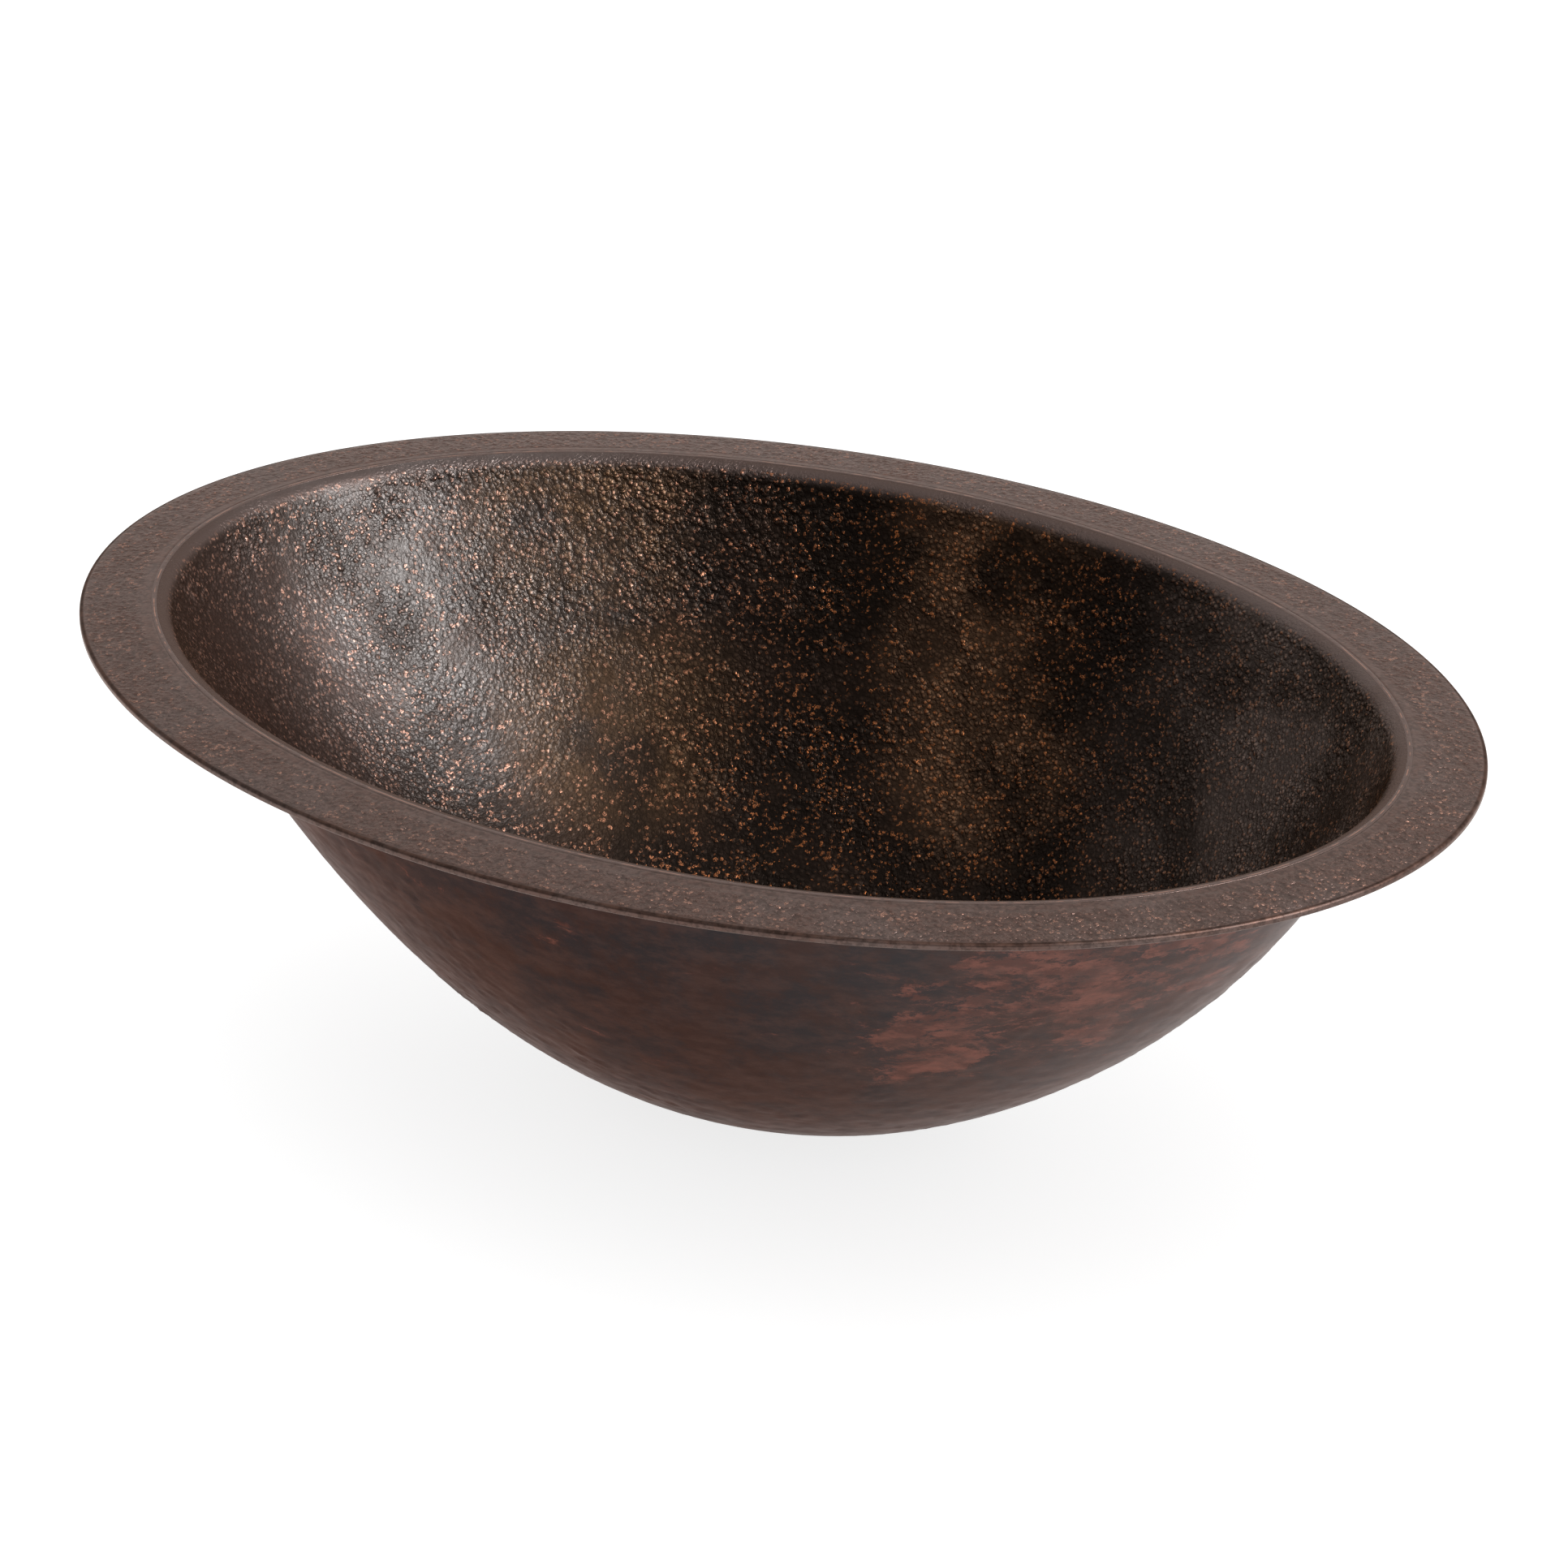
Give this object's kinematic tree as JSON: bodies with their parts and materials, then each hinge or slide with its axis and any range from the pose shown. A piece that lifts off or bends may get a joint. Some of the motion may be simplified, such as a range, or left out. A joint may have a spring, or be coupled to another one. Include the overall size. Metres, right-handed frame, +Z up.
{
  "type": "hammered copper basin",
  "caption": "Oval hammered copper wash basin with a flat rim flange, a deep raised bowl and a central drain hole.",
  "frame": {"origin": "centre of the drain seat's underside, on the surface that the basin stands on", "axes": "+X along the long axis of the oval, +Z up through the drain hole towards the rim"},
  "size_m": [0.4826, 0.3556, 0.1485],
  "materials": {
    "bowl_copper": "hammered copper with a dark oil-rubbed patina, satin outside",
    "rim_copper": "finely textured copper with a grey-brown patina",
    "bead_copper": "ground filler bead, patina rubbed through to bare copper in places"
  },
  "bodies": {
    "root": {"bowl": "bowl_copper", "rim_flange": "rim_copper", "seam_bead": "bead_copper"}
  },
  "joints": []
}
